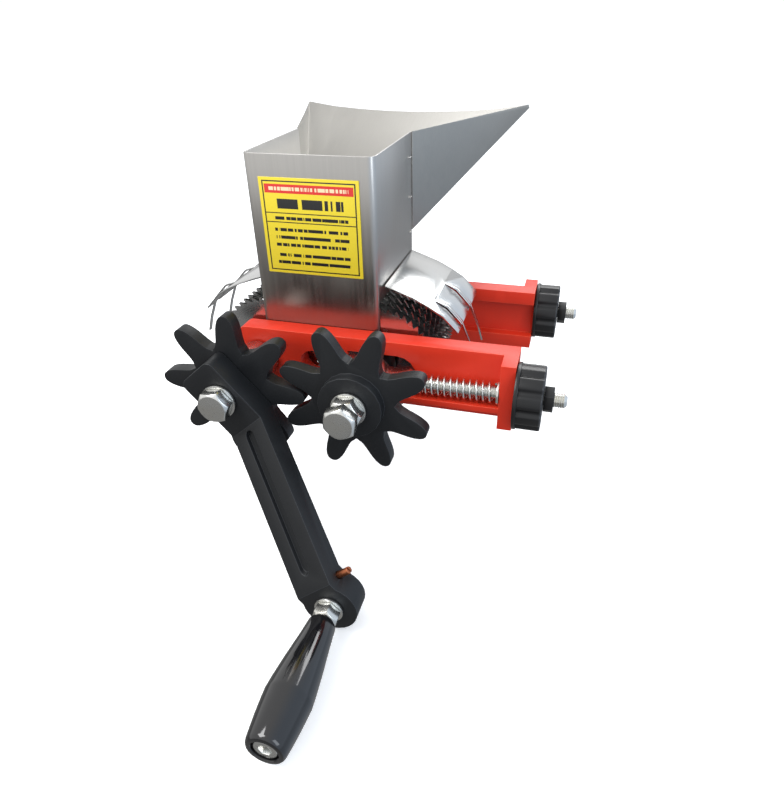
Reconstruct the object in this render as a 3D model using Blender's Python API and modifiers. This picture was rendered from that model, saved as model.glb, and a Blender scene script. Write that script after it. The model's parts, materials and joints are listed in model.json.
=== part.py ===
"""Hand-cranked olive scoring mill: two toothed rollers between side frames, under a sheet hopper.

The origin lies at the middle of the front side frame's bottom face. X runs from the drive shaft to
the adjusting knobs, the crank and the gears are on the -Y side, and +Z is up.
In the sizes below Y is counted from the plane midway between the two side frames, and MIDPLANE_Y
puts that plane in its place.
Lengths below are in millimetres, and MM turns them into metres.
"""

import math

import bmesh
import bpy
from mathutils import Matrix, Vector

MM = 0.001
GAP = 0.3  # clearance between pieces that touch
MIDPLANE_Y = 45  # from the origin back to the plane midway between the side frames

# Side frames
FRAME_LEFT = -86
FRAME_RIGHT = 83
FRAME_INNER = 39
FRAME_OUTER = 51
FRAME_HEIGHT = 40
POCKET_WEB = 5
RIB = 8.5
FLANGE_THICK = 8
FLANGE_REACH = 64
SHELF_LEFT = 17.8
SHELF_TOP = 13.2
SHELF_BOTTOM = 10

# Shafts and rollers
SHAFT_Z = 20
DRIVE_X = -73
DRIVEN_X = -1
SHAFT_R = 8
BUSH_R = 10.7
ROLLER_R = 34
TOOTH_DEPTH = 3.2
DRUM_R = 27
BLADE_COUNT = 9
BLADE_TEETH = 17
BLADE_THICK = 1.2
ROLLER_END = 36

# Gears
GEAR_TEETH = 8
GEAR_TIP_R = 44
GEAR_ROOT_R = 23.5
GEAR_BACK = -80.2
DRIVE_GEAR_FACE = -88.2
DRIVEN_GEAR_FACE = -87.4
DRIVE_GEAR_TURN = -1.7
DRIVEN_GEAR_TURN = 24.9

# Hopper and tray
HOPPER_LEFT = -74.5
HOPPER_RIGHT = 0.5
HOPPER_FRONT = -38.7
HOPPER_REAR = 37.7
HOPPER_TOP = 138
HOPPER_SIDE_BOTTOM = 57
HOPPER_SKIRT_BOTTOM = 33
SHEET = 1
TRAY_FLOOR = 78.5
TRAY_END_Y = 192
TRAY_END_Z = 133
TRAY_SPREAD = 55.5
TRAY_SAG = 6

# Adjusters
ROD_Y = 58.3
ROD_R = 4
ROD_END = 111
EYE_R = 13.2
EYE_THICK = 8.4
NECK = 6.4
SHOULDER_X = 24.7
SPRING_R = 5.6
WIRE_R = 0.65
SPRING_TURNS = 13
KNOB_FROM = 83.3
KNOB_TO = 98.5
KNOB_R = 18
KNOB_FLUTES = 10

# Crank: an arm that leaves the shaft flat, bends outward to pass the other shaft's bolt, and ends flat
ARM_TURN = 49
ARM_BACK = -88.5
ARM_FRONT = -102.7
ARM_HALF_WIDTH = 12.9
ARM_END = -20.5
BEND_R = 21
HEAD_BEND_R = 104
ARM_SLOPE = 0.6
THROW = 116.7
HEAD_R = 15.4
GRIP_X = DRIVE_X + THROW * math.cos(math.radians(ARM_TURN))
GRIP_Z = SHAFT_Z - THROW * math.sin(math.radians(ARM_TURN))
HEAD_FRONT = ARM_FRONT - ARM_SLOPE * (HEAD_BEND_R - BEND_R)
HEAD_BACK = HEAD_FRONT + 14.2
SCREW_X = DRIVE_X + 106.5
SCREW_Y = HEAD_FRONT + 9.2
GRIP_FROM = -162.9
GRIP_RIDGE = -206.5
GRIP_TO = -231.9
GRIP_R = 12.1

COLOURS = {
    "frame_red": ((0.72, 0.075, 0.03), 0.0, 0.38),
    "brushed_steel": ((0.56, 0.55, 0.53), 1.0, 0.36),
    "guard_steel": ((0.66, 0.66, 0.65), 1.0, 0.22),
    "blade_steel": ((0.62, 0.62, 0.62), 1.0, 0.25),
    "zinc": ((0.72, 0.71, 0.67), 1.0, 0.28),
    "black_plastic": ((0.018, 0.019, 0.021), 0.0, 0.42),
    "grip_black": ((0.008, 0.008, 0.009), 0.0, 0.16),
    "gear_black": ((0.026, 0.028, 0.031), 0.0, 0.5),
    "label_print": ((0.93, 0.76, 0.06), 0.0, 0.4),
    "copper_screw": ((0.42, 0.17, 0.09), 1.0, 0.4),
}


def clear_scene():
    for obj in list(bpy.data.objects):
        bpy.data.objects.remove(obj, do_unlink=True)


def collection(name, hidden=False):
    made = bpy.data.collections.new(name)
    bpy.context.scene.collection.children.link(made)
    made.hide_render = hidden
    return made


def material(name):
    colour, metallic, roughness = COLOURS[name]
    made = bpy.data.materials.new(name)
    made.use_nodes = True
    shader = made.node_tree.nodes["Principled BSDF"]
    shader.inputs["Base Color"].default_value = (*colour, 1)
    shader.inputs["Metallic"].default_value = metallic
    shader.inputs["Roughness"].default_value = roughness
    return made


clear_scene()
MILL = collection("olive_scoring_mill")
CUTTERS = collection("cutters", hidden=True)
BASE = bpy.data.objects.new("mill_base", None)
BASE.location = (0, MIDPLANE_Y * MM, 0)
MILL.objects.link(BASE)
MATERIALS = {name: material(name) for name in COLOURS}


def finished(bm, name, slot, origin=(0, 0, 0)):
    """An object made of the bmesh, in millimetres until here. With no slot it is a cutter."""
    bmesh.ops.recalc_face_normals(bm, faces=bm.faces)
    bmesh.ops.translate(bm, verts=bm.verts, vec=-Vector(origin))
    bmesh.ops.scale(bm, verts=bm.verts, vec=(MM, MM, MM))
    mesh = bpy.data.meshes.new(name)
    bm.to_mesh(mesh)
    bm.free()
    obj = bpy.data.objects.new(name, mesh)
    obj.parent = BASE
    obj.location = Vector(origin) * MM
    if slot:
        MILL.objects.link(obj)
        mesh.materials.append(MATERIALS[slot])
    else:
        CUTTERS.objects.link(obj)
        obj.hide_render = True
        obj.display_type = "WIRE"
    return obj


def axes_of(axis):
    """The two directions across an axis, then the axis itself."""
    along = {"X": Vector((1, 0, 0)), "Y": Vector((0, 1, 0)), "Z": Vector((0, 0, 1))}
    across = {"X": "YZ", "Y": "XZ", "Z": "XY"}[axis]
    return along[across[0]], along[across[1]], along[axis]


def prism(name, slot, axis, outline, low, high, origin=(0, 0, 0)):
    """The outline across the axis, filled and carried from low to high along it."""
    first, second, along = axes_of(axis)
    bm = bmesh.new()
    corners = [bm.verts.new(first * a + second * b + along * low) for a, b in outline]
    face = bm.faces.new(corners)
    moved = bmesh.ops.extrude_face_region(bm, geom=[face])["geom"]
    verts = [item for item in moved if isinstance(item, bmesh.types.BMVert)]
    bmesh.ops.translate(bm, verts=verts, vec=along * (high - low))
    return finished(bm, name, slot, origin)


def box(name, slot, low, high, origin=(0, 0, 0)):
    bm = bmesh.new()
    bmesh.ops.create_cube(bm, size=1)
    size = [b - a for a, b in zip(low, high)]
    middle = [(a + b) / 2 for a, b in zip(low, high)]
    bmesh.ops.scale(bm, verts=bm.verts, vec=size)
    bmesh.ops.translate(bm, verts=bm.verts, vec=middle)
    return finished(bm, name, slot, origin)


def turned(name, slot, axis, centre, profile, steps=20, origin=None):
    """The closed profile of (distance along the axis, radius) points, turned about the axis."""
    first, second, along = axes_of(axis)
    foot = Vector(centre)
    bm = bmesh.new()
    ring = [bm.verts.new(foot + along * a + first * r) for a, r in profile]
    edges = [bm.edges.new((ring[i - 1], ring[i])) for i in range(len(ring))]
    on_axis = [edge for edge in edges if sum((v.co - foot).cross(along).length for v in edge.verts) < 1e-6]
    bmesh.ops.delete(bm, geom=on_axis, context="EDGES")
    bmesh.ops.spin(bm, geom=bm.verts[:] + bm.edges[:], axis=along, cent=foot, steps=steps, angle=math.tau)
    bmesh.ops.remove_doubles(bm, verts=bm.verts, dist=1e-4)
    return finished(bm, name, slot, centre if origin is None else origin)


def ring(name, slot, axis, centre, low, high, outer, inner, steps=20):
    edge = min(0.5, (high - low) / 4, (outer - inner) / 4)
    profile = [
        (low, inner),
        (low, outer - edge),
        (low + edge, outer),
        (high - edge, outer),
        (high, outer - edge),
        (high, inner),
    ]
    return turned(name, slot, axis, centre, profile, steps)


def rod(name, slot, axis, centre, low, high, radius, steps=24, origin=None):
    profile = [(low, 0), (low, radius), (high, radius), (high, 0)]
    return turned(name, slot, axis, centre, profile, steps, origin)


def boolean(obj, other, operation):
    change = obj.modifiers.new(operation.lower(), "BOOLEAN")
    change.operation = operation
    change.solver = "EXACT"
    change.object = other


def cut(obj, *others):
    for other in others:
        boolean(obj, other, "DIFFERENCE")


def add(obj, *others):
    for other in others:
        boolean(obj, other, "UNION")


def mirrored(side, low, high):
    """A span of the front side (-1) or the same span of the rear side (+1)."""
    return (-high, -low) if side < 0 else (low, high)


def bar_outline():
    """The frame's long outline in X and Z, with its left top corner rounded."""
    points = [(FRAME_LEFT, 0), (FRAME_RIGHT, 0), (FRAME_RIGHT, FRAME_HEIGHT)]
    for step in range(5):
        turn = math.radians(90 + 22.5 * step)
        points.append((FRAME_LEFT + 5 + 5 * math.cos(turn), FRAME_HEIGHT - 5 + 5 * math.sin(turn)))
    return points


def window_outline():
    """The long window: low at the left, taller where the driven shaft slides."""
    low, tall = 8.7, 11.5
    points = [(-16, SHAFT_Z - low), (-16, SHAFT_Z - tall)]
    for step in range(9):
        turn = math.radians(-90 + 22.5 * step)
        points.append((14 + tall * math.cos(turn), SHAFT_Z + tall * math.sin(turn)))
    points += [(-16, SHAFT_Z + tall), (-16, SHAFT_Z + low)]
    for step in range(9):
        turn = math.radians(90 + 22.5 * step)
        points.append((-38.3 + low * math.cos(turn), SHAFT_Z + low * math.sin(turn)))
    return points


def side_frame(name, side):
    low, high = mirrored(side, FRAME_INNER, FRAME_OUTER)
    frame = prism(name, "frame_red", "Y", bar_outline(), low, high)
    low, high = mirrored(side, FRAME_OUTER - 2, FLANGE_REACH)
    flange_x = FRAME_RIGHT - FLANGE_THICK
    flange = box(f"{name}_flange", None, (flange_x, low, 0), (FRAME_RIGHT, high, FRAME_HEIGHT))
    shelf = box(f"{name}_shelf", None, (SHELF_LEFT, low, SHELF_BOTTOM), (flange_x + 3, high, SHELF_TOP))
    add(frame, flange, shelf)
    low, high = mirrored(side, FRAME_INNER - 5, FRAME_OUTER - POCKET_WEB)
    pocket = box(f"{name}_pocket", None, (32, low, RIB), (FRAME_RIGHT + 5, high, FRAME_HEIGHT - RIB))
    low, high = mirrored(side, FRAME_INNER - 5, FRAME_OUTER + 5)
    window = prism(f"{name}_window", None, "Y", window_outline(), low, high)
    bore = rod(f"{name}_bore", None, "Y", (DRIVE_X, 0, SHAFT_Z), low, high, 11, 20)
    hole = rod(f"{name}_hole", None, "X", (0, side * ROD_Y, SHAFT_Z), flange_x - 5, FRAME_RIGHT + 5, ROD_R + GAP)
    cut(frame, pocket, window, bore, hole)
    return frame


def hopper_outline(inset):
    """The hopper seen from above, its front corners round. The inset gives the inner face of the sheet."""
    radius = 4 - inset
    left, right = HOPPER_LEFT + inset, HOPPER_RIGHT - inset
    front, rear = HOPPER_FRONT + inset, HOPPER_REAR - inset
    front_left = arc(left + radius, front + radius, radius, 180, 270, 3)
    front_right = arc(right - radius, front + radius, radius, 270, 360, 3)
    return [(right, rear), (left, rear)] + front_left + front_right


def hopper():
    body = prism("hopper_body", "brushed_steel", "Z", hopper_outline(0), HOPPER_SKIRT_BOTTOM, HOPPER_TOP)
    inside = prism("hopper_inside", None, "Z", hopper_outline(SHEET), HOPPER_SKIRT_BOTTOM - 5, HOPPER_TOP + 5)
    inner = HOPPER_FRONT + SHEET
    low = (HOPPER_LEFT - 5, inner + 1.3, HOPPER_SKIRT_BOTTOM - 5)
    high = (HOPPER_RIGHT + 5, HOPPER_REAR - SHEET - 0.4, HOPPER_SIDE_BOTTOM)
    under = box("hopper_under", None, low, high)
    low = (HOPPER_LEFT + SHEET, HOPPER_REAR - 5, TRAY_FLOOR)
    over = box("hopper_over", None, low, (HOPPER_RIGHT - SHEET, HOPPER_REAR + 5, HOPPER_TOP + 5))
    cut(body, inside, under, over)
    return body


def tray():
    """The open scoop behind the hopper: a floor between two walls that run out to nothing at the rear."""
    strips = 8
    front_y = HOPPER_REAR + GAP
    bm = bmesh.new()
    near, far = [], []
    for step in range(strips + 1):
        across = step / strips
        near_x = HOPPER_LEFT + (HOPPER_RIGHT - HOPPER_LEFT) * across
        far_x = near_x + TRAY_SPREAD * (2 * across - 1)
        sag = TRAY_SAG * (1 - (2 * across - 1) ** 2)
        near.append(bm.verts.new((near_x, front_y, TRAY_FLOOR)))
        far.append(bm.verts.new((far_x, TRAY_END_Y, TRAY_END_Z - sag)))
    for step in range(strips):
        bm.faces.new((near[step], near[step + 1], far[step + 1], far[step]))
    for foot, tip in ((near[0], far[0]), (near[-1], far[-1])):
        top = bm.verts.new((foot.co.x, front_y, HOPPER_TOP))
        bm.faces.new((foot, tip, top))
    made = finished(bm, "hopper_tray", "brushed_steel")
    skin = made.modifiers.new("sheet", "SOLIDIFY")
    skin.thickness = SHEET * MM
    skin.offset = 0
    skin.use_even_offset = True
    return made


def strip_outline(path, thick):
    """A bent strip of even thickness along a path of (x, z) points, as one closed outline."""
    upper, lower = [], []
    for index, point in enumerate(path):
        before = Vector(path[max(index - 1, 0)])
        after = Vector(path[min(index + 1, len(path) - 1)])
        along = (after - before).normalized()
        across = Vector((-along.y, along.x)) * thick / 2
        upper.append(tuple(Vector(point) + across))
        lower.append(tuple(Vector(point) - across))
    return upper + lower[::-1]


def guard(name, side):
    """The bent sheet beside the hopper that covers a roller, with two slits and a finger in each."""
    middle = (HOPPER_LEFT + HOPPER_RIGHT) / 2
    outward = lambda points: [(middle + side * (x - middle), z) for x, z in points]
    sheet_path = outward([(HOPPER_RIGHT + 0.6, 64.3), (9, 61.6), (19, 58), (28, 53.4), (36, 48.5), (45, 39)])
    finger_path = outward([(27, 53.8), (36.5, 50.5), (45, 41.5), (51, 27), (54, 17)])
    sheet = prism(name, "guard_steel", "Y", strip_outline(sheet_path, SHEET), -29, 36)
    for number, y in enumerate((-17, 11)):
        slit = prism(f"{name}_slit_{number}", None, "Y", strip_outline(outward([(29, 53), (60, 21)]), 30), y - 2, y + 2)
        cut(sheet, slit)
    for number, y in enumerate((-17, 11)):
        finger = prism(f"{name}_finger_{number}", None, "Y", strip_outline(finger_path, SHEET), y - 1.25, y + 1.25)
        add(sheet, finger)
    return sheet


def blade_outline(teeth, phase):
    """Saw teeth round a disc: a long slope up to each tip, then a steep drop."""
    points = []
    for tooth in range(teeth):
        start = phase + math.tau * tooth / teeth
        for share, radius in ((0.0, ROLLER_R - TOOTH_DEPTH), (0.86, ROLLER_R)):
            turn = start + share * math.tau / teeth
            points.append((radius * math.cos(turn), radius * math.sin(turn)))
    return points


def roller(prefix, x):
    """The drum with its ring blades. The front blade is a whole disc on the shaft."""
    centre = (x, 0, SHAFT_Z)
    pitch = (2 * ROLLER_END - BLADE_THICK) / (BLADE_COUNT - 1)
    front = -ROLLER_END + BLADE_THICK + GAP
    ring(f"{prefix}_drum", "black_plastic", "Y", centre, front, ROLLER_END, DRUM_R, SHAFT_R + GAP, 20)
    for number in range(BLADE_COUNT):
        low = -ROLLER_END + pitch * number
        outline = [(x + a, SHAFT_Z + b) for a, b in blade_outline(BLADE_TEETH, number * 0.11)]
        name = f"{prefix}_blade_{number + 1}"
        blade = prism(name, "blade_steel", "Y", outline, low, low + BLADE_THICK, centre)
        hole_r = SHAFT_R + GAP if number == 0 else DRUM_R + GAP
        cut(blade, rod(f"{name}_hole", None, "Y", centre, low - 2, low + 3, hole_r, 20))


def gear_outline():
    """Eight long teeth with round tips, as (x, z) about the gear's centre, one tooth pointing along +X."""
    flank = [(24.4, 8.6), (26.5, 7.0), (30, 6.3), (33, 6.0), (36, 5.6), (39, 4.9), (41.5, 3.9), (43.2, 2.6), (44, 1.0)]
    half = [(math.asin(width / radius), radius) for radius, width in flank]
    tooth = [(-turn, radius) for turn, radius in half] + [(turn, radius) for turn, radius in reversed(half)]
    points = []
    for number in range(GEAR_TEETH):
        start = math.tau * number / GEAR_TEETH
        points += [(start + turn, radius) for turn, radius in tooth]
        points.append((start + math.pi / GEAR_TEETH, GEAR_ROOT_R))
    return points


def gear(name, x, turn, face):
    centre = (x, 0, SHAFT_Z)
    shift = math.radians(turn)
    outline = [(x + r * math.cos(a + shift), SHAFT_Z + r * math.sin(a + shift)) for a, r in gear_outline()]
    made = prism(name, "gear_black", "Y", outline, face, GEAR_BACK, centre)
    if name == "driven_gear":
        add(made, rod(f"{name}_boss", None, "Y", centre, face - 5.8, face + 2, 18.2, 20))
    cut(made, rod(f"{name}_bore", None, "Y", centre, face - 10, GEAR_BACK + 5, SHAFT_R + GAP, 20))
    return made


def drive_shaft():
    """The crank's shaft, with a blind hole for its bolt at the front end."""
    tip = ARM_FRONT + GAP
    profile = [(tip, 5.3), (tip, SHAFT_R), (54, SHAFT_R), (54, 0), (tip + 14, 0), (tip + 14, 5.3)]
    return turned("drive_shaft", "zinc", "Y", (DRIVE_X, 0, SHAFT_Z), profile, 20)


def driven_shaft():
    tip = DRIVEN_GEAR_FACE - 5.5
    profile = [(tip, 5.3), (tip, SHAFT_R), (66, SHAFT_R), (66, 0), (tip + 14, 0), (tip + 14, 5.3)]
    return turned("driven_shaft", "zinc", "Y", (DRIVEN_X, 0, SHAFT_Z), profile, 20)


def hexagon(x, z, flats, turn):
    radius = flats / math.sqrt(3)
    corners = [math.radians(turn + 60 * step) for step in range(6)]
    return [(x + radius * math.cos(a), z + radius * math.sin(a)) for a in corners]


def chamfered(name, slot, x, z, flats, low, high, turn, front_only=True):
    """A hexagon across the Y axis whose front corners are turned off."""
    made = prism(name, slot, "Y", hexagon(x, z, flats, turn), low, high, (x, 0, z))
    corner = flats / math.sqrt(3)
    profile = [(low - 1, 0), (low - 1, corner - 3.2), (low + 2.2, corner + 0.6), (high + 2, corner + 0.6), (high + 2, 0)]
    boolean(made, turned(f"{name}_turning", None, "Y", (x, 0, z), profile, 24), "INTERSECT")
    return made


def crank_bolt():
    head_back = ARM_FRONT - 2 - 2 * GAP
    bolt = chamfered("crank_bolt", "zinc", DRIVE_X, SHAFT_Z, 17, head_back - 6.9, head_back, 10)
    shank = rod("crank_bolt_shank", None, "Y", (DRIVE_X, 0, SHAFT_Z), head_back - 2, ARM_FRONT + 12, 5, 24)
    add(bolt, shank)
    return bolt


def driven_end():
    """Washer, nut and bolt in front of the driven gear's boss."""
    centre = (DRIVEN_X, 0, SHAFT_Z)
    boss = DRIVEN_GEAR_FACE - 5.8
    ring("driven_washer", "zinc", "Y", centre, boss - 2, boss - GAP, 10, 5.3)
    nut = chamfered("driven_nut", "zinc", DRIVEN_X, SHAFT_Z, 17, boss - 10.2, boss - 2.3, 5)
    cut(nut, rod("driven_nut_hole", None, "Y", centre, boss - 15, boss, 5.3, 24))
    bolt = chamfered("driven_bolt", "zinc", DRIVEN_X, SHAFT_Z, 17, boss - 17.6, boss - 10.5, 22)
    add(bolt, rod("driven_bolt_shank", None, "Y", centre, boss - 12, DRIVEN_GEAR_FACE + 5, 5, 24))


def arc(x, z, radius, start, end, steps):
    """Points on an arc, in degrees from +X towards +Z."""
    turns = [math.radians(start + (end - start) * step / steps) for step in range(steps + 1)]
    return [(x + radius * math.cos(a), z + radius * math.sin(a)) for a in turns]


def groove_outline(first, last, width):
    """A slot with round ends between two (x, z) points."""
    along = math.degrees(math.atan2(last[1] - first[1], last[0] - first[0]))
    head = arc(*last, width / 2, along - 90, along + 90, 6)
    return head + arc(*first, width / 2, along + 90, along + 270, 6)


def on_arm(obj):
    """Turns a piece, made with the arm along +X, to the crank's direction at rest."""
    obj.rotation_euler.y = math.radians(ARM_TURN)
    return obj


def face_of_arm(reach):
    """The Y of the arm's front face at a distance from the shaft."""
    return ARM_FRONT - ARM_SLOPE * (min(max(reach, BEND_R), HEAD_BEND_R) - BEND_R)


def crank_arm():
    """The arm: a straight bar with a square end and a round head, bent outward between two flats."""
    half = ARM_HALF_WIDTH
    axis = (DRIVE_X, 0, SHAFT_Z)
    end, head = DRIVE_X + ARM_END, DRIVE_X + THROW
    neck = math.degrees(math.asin(half / HEAD_R))
    outline = arc(head, SHAFT_Z, HEAD_R, neck - 180, 180 - neck, 20)
    outline += arc(end + 4, SHAFT_Z + half - 4, 4, 90, 180, 3) + arc(end + 4, SHAFT_Z - half + 4, 4, 180, 270, 3)
    arm = on_arm(prism("crank_arm", "gear_black", "Y", outline, HEAD_FRONT - 5, ARM_BACK + 5, axis))
    back = ARM_BACK - ARM_FRONT
    bends = [end - 5, DRIVE_X + BEND_R, DRIVE_X + HEAD_BEND_R, head + HEAD_R + 5]
    side = [(x, face_of_arm(x - DRIVE_X)) for x in bends]
    side += [(x, face_of_arm(x - DRIVE_X) + back) for x in reversed(bends)]
    bent = on_arm(prism("arm_side", None, "Z", side, SHAFT_Z - 30, SHAFT_Z + 30, axis))
    boolean(arm, bent, "INTERSECT")
    slot = groove_outline((DRIVE_X + 26, SHAFT_Z), (DRIVE_X + 93, SHAFT_Z), 6.5)
    groove = on_arm(prism("arm_groove", None, "Y", slot, HEAD_FRONT - 20, ARM_FRONT + 10, axis))
    floor = [(x, face_of_arm(x - DRIVE_X) + 3) for x in bends[1:3]]
    floor += [(bends[2], HEAD_FRONT - 25), (bends[1], HEAD_FRONT - 25)]
    boolean(groove, on_arm(prism("groove_floor", None, "Z", floor, SHAFT_Z - 9, SHAFT_Z + 9, axis)), "INTERSECT")
    shaft_hole = rod("arm_shaft_hole", None, "Y", (DRIVE_X, 0, SHAFT_Z), -120, -80, SHAFT_R + GAP, 20)
    grip_hole = rod("arm_grip_hole", None, "Y", (GRIP_X, 0, GRIP_Z), -170, -120, 4.3, 16)
    screw_hole = rod("arm_screw_hole", None, "Z", (SCREW_X, SCREW_Y, 0), SHAFT_Z + 4, 60, 2.3, 16, axis)
    cut(arm, groove, shaft_hole, grip_hole, on_arm(screw_hole))
    return arm


def grip_parts():
    centre = (GRIP_X, 0, GRIP_Z)
    ring("grip_washer", "zinc", "Y", centre, HEAD_FRONT - 1.9, HEAD_FRONT - GAP, 8, 4.3, 16)
    nut = chamfered("grip_nut", "zinc", GRIP_X, GRIP_Z, 13, GRIP_FROM + 0.6, HEAD_FRONT - 2.2, 14)
    cut(nut, rod("grip_nut_hole", None, "Y", centre, -180, -130, 4.3, 16))
    seat = GRIP_TO + 6.5
    screw_profile = [(GRIP_TO + 0.8, 0), (GRIP_TO + 0.8, 5.6), (GRIP_TO + 1.3, 6.1), (seat - GAP, 6.1)]
    screw_profile += [(seat - GAP, 4), (HEAD_BACK - 0.5, 4), (HEAD_BACK - 0.5, 0)]
    screw = turned("grip_screw", "zinc", "Y", centre, screw_profile, 20)
    socket = hexagon(GRIP_X, GRIP_Z, 6, 0)
    cut(screw, prism("grip_screw_socket", None, "Y", socket, GRIP_TO - 5, GRIP_TO + 4.5))
    length = GRIP_FROM - GRIP_RIDGE
    taper = GRIP_RIDGE - GRIP_TO
    profile = [
        (GRIP_FROM, 4.3),
        (GRIP_FROM, 6.6),
        (GRIP_FROM - 1.0, 7.4),
        (GRIP_FROM - 0.3 * length, 8.7),
        (GRIP_FROM - 0.65 * length, 10.6),
        (GRIP_FROM - 0.9 * length, 11.9),
        (GRIP_RIDGE, GRIP_R),
        (GRIP_RIDGE - 0.2 * taper, 11.9),
        (GRIP_RIDGE - 0.6 * taper, 11.0),
        (GRIP_TO + 1.6, 9.9),
        (GRIP_TO, 8.4),
        (GRIP_TO, 6.5),
        (seat, 6.5),
        (seat, 4.3),
    ]
    turned("grip", "grip_black", "Y", centre, profile, 20)


def set_screw():
    """The small screw that stands out of the arm's upper edge near the head."""
    axis = (DRIVE_X, 0, SHAFT_Z)
    foot, top = (SCREW_X, SCREW_Y, 0), SHAFT_Z + 21
    screw = on_arm(rod("set_screw", "copper_screw", "Z", foot, SHAFT_Z + 4.4, top, 2, 16, axis))
    low = (SCREW_X - 5, SCREW_Y - 0.5, top - 1)
    slot = box("set_screw_slot", None, low, (SCREW_X + 5, SCREW_Y + 0.5, top + 5), axis)
    cut(screw, on_arm(slot))
    return screw


def eye_bolt(name, side):
    """A flat eye round the driven shaft, a short neck and a threaded rod through the flange."""
    low, high = side * ROD_Y - EYE_THICK / 2, side * ROD_Y + EYE_THICK / 2
    start = math.degrees(math.asin(NECK / EYE_R))
    outline = arc(DRIVEN_X, SHAFT_Z, EYE_R, start, 360 - start, 20)
    outline += [(SHOULDER_X - 1.5, SHAFT_Z - NECK), (SHOULDER_X, SHAFT_Z - NECK + 1)]
    outline += [(SHOULDER_X, SHAFT_Z + NECK - 1), (SHOULDER_X - 1.5, SHAFT_Z + NECK)]
    eye = prism(name, "zinc", "Y", outline, low, high)
    centre = (0, side * ROD_Y, SHAFT_Z)
    profile = [(SHOULDER_X - 2, 0), (SHOULDER_X - 2, ROD_R), (ROD_END - 1, ROD_R), (ROD_END, ROD_R - 1), (ROD_END, 0)]
    add(eye, turned(f"{name}_rod", None, "X", centre, profile, 20))
    cut(eye, rod(f"{name}_hole", None, "Y", (DRIVEN_X, 0, SHAFT_Z), low - 5, high + 5, SHAFT_R + GAP, 20))
    return eye


def spring(name, side):
    """A round wire wound about the rod, from the eye bolt's shoulder to the washer at the flange."""
    start = SHOULDER_X + GAP + WIRE_R
    end = FRAME_RIGHT - FLANGE_THICK - 1.2 - 2 * GAP - WIRE_R
    steps, sides = 9 * SPRING_TURNS, 4
    slope = math.atan2((end - start) / SPRING_TURNS, math.tau * SPRING_R)
    bm = bmesh.new()
    rings = []
    for step in range(steps + 1):
        turn = math.tau * step / 9
        outward = Vector((0, math.cos(turn), math.sin(turn)))
        forward = Vector((math.sin(slope), -math.sin(turn) * math.cos(slope), math.cos(turn) * math.cos(slope)))
        across = forward.cross(outward)
        foot = Vector((start + (end - start) * step / steps, side * ROD_Y, SHAFT_Z)) + outward * SPRING_R
        angles = [math.tau * side_step / sides for side_step in range(sides)]
        rings.append([bm.verts.new(foot + (outward * math.cos(a) + across * math.sin(a)) * WIRE_R) for a in angles])
    for step in range(steps):
        for corner in range(sides):
            one, two = rings[step], rings[step + 1]
            bm.faces.new((one[corner - 1], one[corner], two[corner], two[corner - 1]))
    bm.faces.new(rings[0])
    bm.faces.new(rings[-1])
    return finished(bm, name, "zinc")


def knob(name, side):
    """A fluted hand knob with a thin collar against the flange."""
    centre = (0, side * ROD_Y, SHAFT_Z)
    points = []
    for step in range(KNOB_FLUTES * 4):
        turn = math.tau * step / (KNOB_FLUTES * 4)
        radius = KNOB_R - 1.3 * max(0, math.cos(turn * KNOB_FLUTES))
        points.append((centre[1] + radius * math.cos(turn), SHAFT_Z + radius * math.sin(turn)))
    made = prism(name, "black_plastic", "X", points, KNOB_FROM + 1, KNOB_TO, centre)
    collar = rod(f"{name}_collar", None, "X", centre, KNOB_FROM, KNOB_FROM + 1.8, KNOB_R + 0.6, 40)
    add(made, collar)
    cut(made, rod(f"{name}_bore", None, "X", centre, KNOB_FROM - 5, KNOB_TO + 5, ROD_R + GAP, 20))
    return made


def knob_nut(name, side):
    y = side * ROD_Y
    nut = prism(name, "black_plastic", "X", hexagon(y, SHAFT_Z, 13, 20), KNOB_TO + GAP, KNOB_TO + 5.5, (0, y, SHAFT_Z))
    cut(nut, rod(f"{name}_hole", None, "X", (0, y, SHAFT_Z), KNOB_TO - 5, KNOB_TO + 9, ROD_R + GAP, 20))
    return nut


def fixed_pieces():
    side_frame("side_frame_front", -1)
    side_frame("side_frame_rear", 1)
    hopper()
    tray()
    guard("guard_right", 1)
    guard("guard_left", -1)
    label_face = HOPPER_FRONT - GAP
    box("hopper_label", "label_print", (-66, label_face - 0.4, 72), (-8, label_face, 126))
    for name, low, high in (("drive_bush_front", -51.5, -38.5), ("drive_bush_rear", 38.5, 51.5)):
        ring(name, "black_plastic", "Y", (DRIVE_X, 0, SHAFT_Z), low, high, BUSH_R, SHAFT_R + GAP)
    flange = FRAME_RIGHT - FLANGE_THICK - GAP
    for name, side in (("spring_washer_front", -1), ("spring_washer_rear", 1)):
        ring(name, "zinc", "X", (0, side * ROD_Y, SHAFT_Z), flange - 1.2, flange, 6.6, ROD_R + GAP, 24)


def crank_pieces():
    drive_shaft()
    roller("drive", DRIVE_X)
    gear("drive_gear", DRIVE_X, DRIVE_GEAR_TURN, DRIVE_GEAR_FACE)
    sleeve_to = -FRAME_OUTER - 0.5 - GAP
    ring("drive_sleeve", "zinc", "Y", (DRIVE_X, 0, SHAFT_Z), GEAR_BACK + GAP, sleeve_to, 12, SHAFT_R + GAP)
    crank_arm()
    ring("crank_washer", "zinc", "Y", (DRIVE_X, 0, SHAFT_Z), ARM_FRONT - 2, ARM_FRONT - GAP, 10, 5.3)
    crank_bolt()
    set_screw()
    grip_parts()


def sliding_pieces():
    for name, side in (("eye_bolt_front", -1), ("eye_bolt_rear", 1)):
        eye_bolt(name, side)
    for name, side in (("spring_front", -1), ("spring_rear", 1)):
        spring(name, side)
    for name, low, high in (("slide_bush_front", -51.2, -38.5), ("slide_bush_rear", 38.5, 51.2)):
        ring(name, "black_plastic", "Y", (DRIVEN_X, 0, SHAFT_Z), low, high, 11, SHAFT_R + GAP)


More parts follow.
